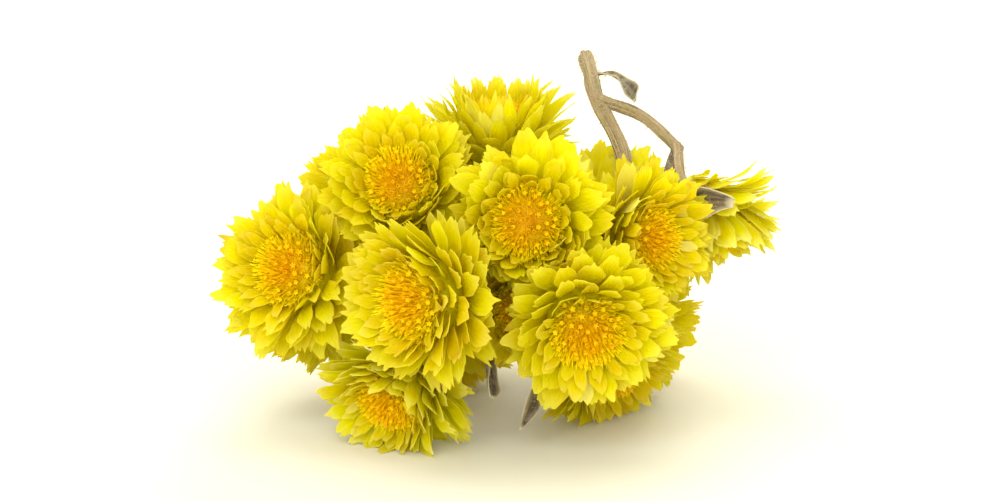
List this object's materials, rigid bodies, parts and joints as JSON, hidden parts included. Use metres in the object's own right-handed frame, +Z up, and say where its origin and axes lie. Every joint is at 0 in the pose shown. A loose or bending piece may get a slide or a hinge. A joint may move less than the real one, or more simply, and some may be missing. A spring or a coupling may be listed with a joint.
{
  "type": "dried everlasting flower top",
  "caption": "Cut top of dried sandy everlasting, lying down: a forked felted stem carries a dense cluster of round heads, each of overlapping papery bracts round a dome of florets.",
  "frame": {"origin": "on the table that the flower top lies on, under the middle of its outer box", "axes": "+X along the cluster's width, with the viewer of the picture at -Y; +Z up from the table"},
  "size_m": [0.033, 0.0296, 0.0198],
  "materials": {
    "papery_bract": "papery lemon yellow with a faint silky sheen, paler at the tips and greener at the root",
    "floret": "matte orange, bristly, deeper in the middle",
    "felted_stem": "matte beige-grey with a woolly felt; its few leaves are dry and grey-brown"
  },
  "bodies": {
    "root": {"stem": "felted_stem", "head_01_bracts": "papery_bract", "head_01_florets": "floret", "head_02_bracts": "papery_bract", "head_02_florets": "floret", "head_03_bracts": "papery_bract", "head_03_florets": "floret", "head_04_bracts": "papery_bract", "head_04_florets": "floret", "head_05_bracts": "papery_bract", "head_05_florets": "floret", "head_06_bracts": "papery_bract", "head_06_florets": "floret", "head_07_bracts": "papery_bract", "head_07_florets": "floret", "head_08_bracts": "papery_bract", "head_08_florets": "floret", "head_09_bracts": "papery_bract", "head_09_florets": "floret", "head_10_bracts": "papery_bract", "head_10_florets": "floret", "head_11_bracts": "papery_bract", "head_11_florets": "floret", "head_12_bracts": "papery_bract", "head_12_florets": "floret", "head_13_bracts": "papery_bract", "head_13_florets": "floret", "head_14_bracts": "papery_bract", "head_14_florets": "floret", "head_15_bracts": "papery_bract", "head_15_florets": "floret", "head_16_bracts": "papery_bract", "head_16_florets": "floret", "head_17_bracts": "papery_bract", "head_17_florets": "floret", "head_18_bracts": "papery_bract", "head_18_florets": "floret"}
  },
  "joints": []
}
